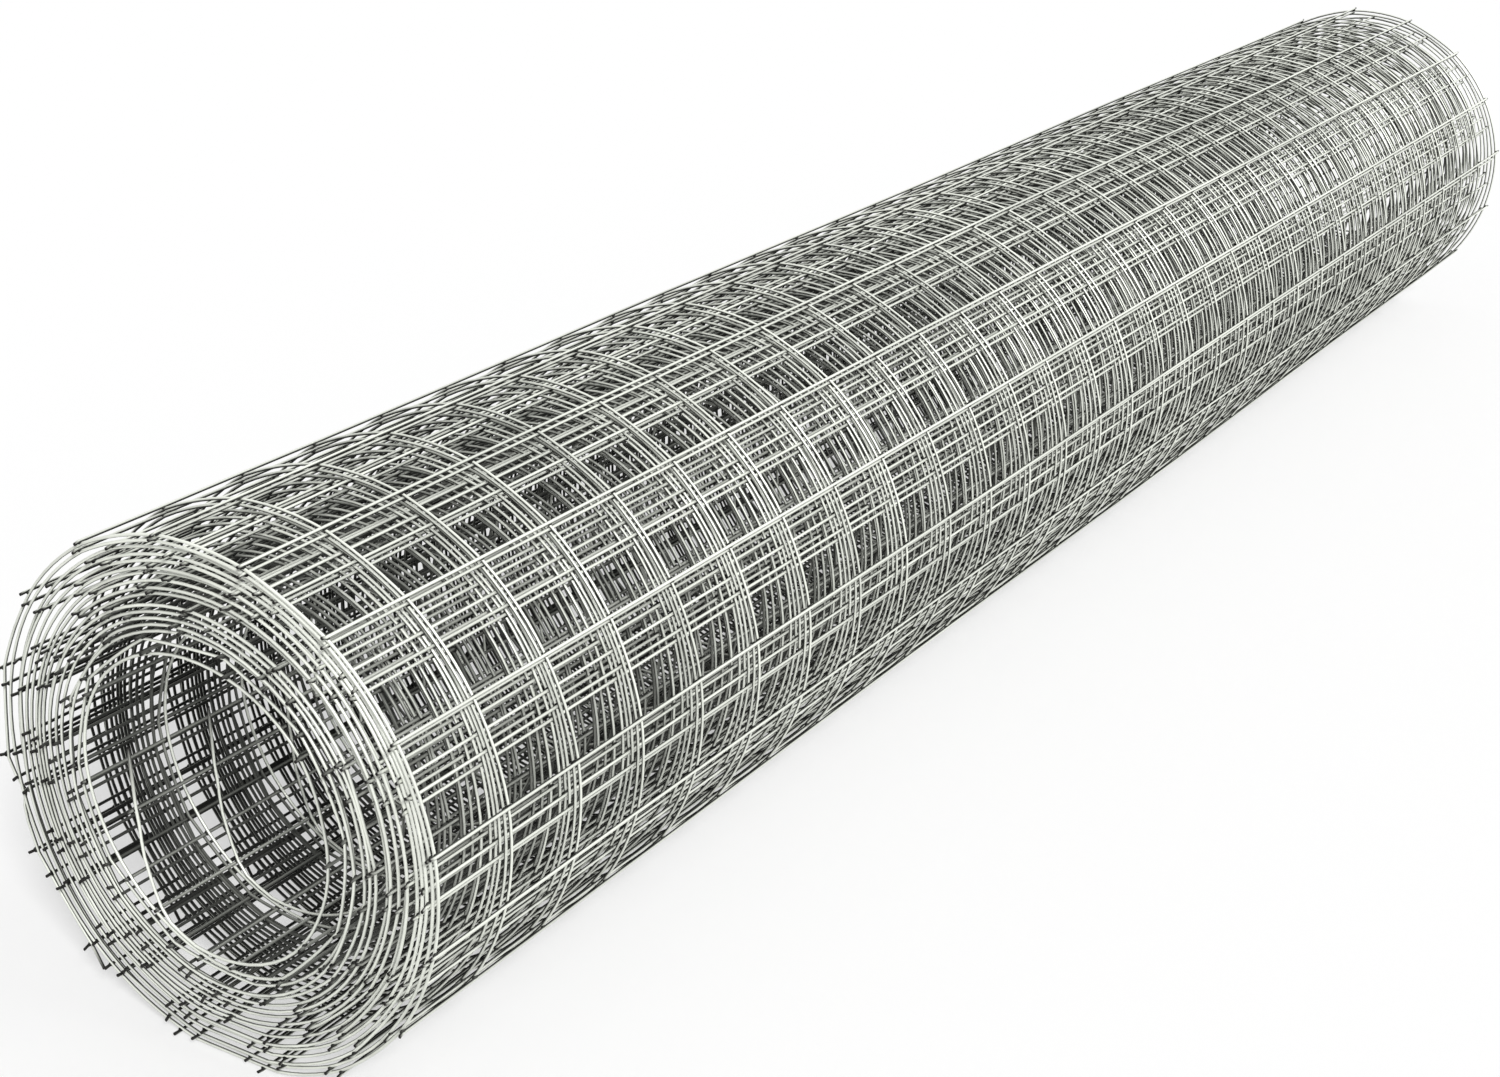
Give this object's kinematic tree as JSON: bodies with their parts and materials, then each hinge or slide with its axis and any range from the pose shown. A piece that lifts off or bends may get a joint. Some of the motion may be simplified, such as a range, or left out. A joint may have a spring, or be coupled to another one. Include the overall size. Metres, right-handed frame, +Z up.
{
  "type": "wire mesh roll",
  "caption": "Roll of galvanised welded wire fencing mesh lying on its side, with square openings, an open core and cut cross wire tips along both ends.",
  "frame": {"origin": "on the floor, under the middle of the roll", "axes": "+X along the roll's axis, +Z up, with the roll lying on its side"},
  "size_m": [1.51, 0.2628, 0.2626],
  "materials": {
    "galvanised_wire": "dull galvanised zinc coating on drawn steel wire, with dark bare steel at the cut tips"
  },
  "bodies": {
    "root": {"mesh_roll": "galvanised_wire"}
  },
  "joints": []
}
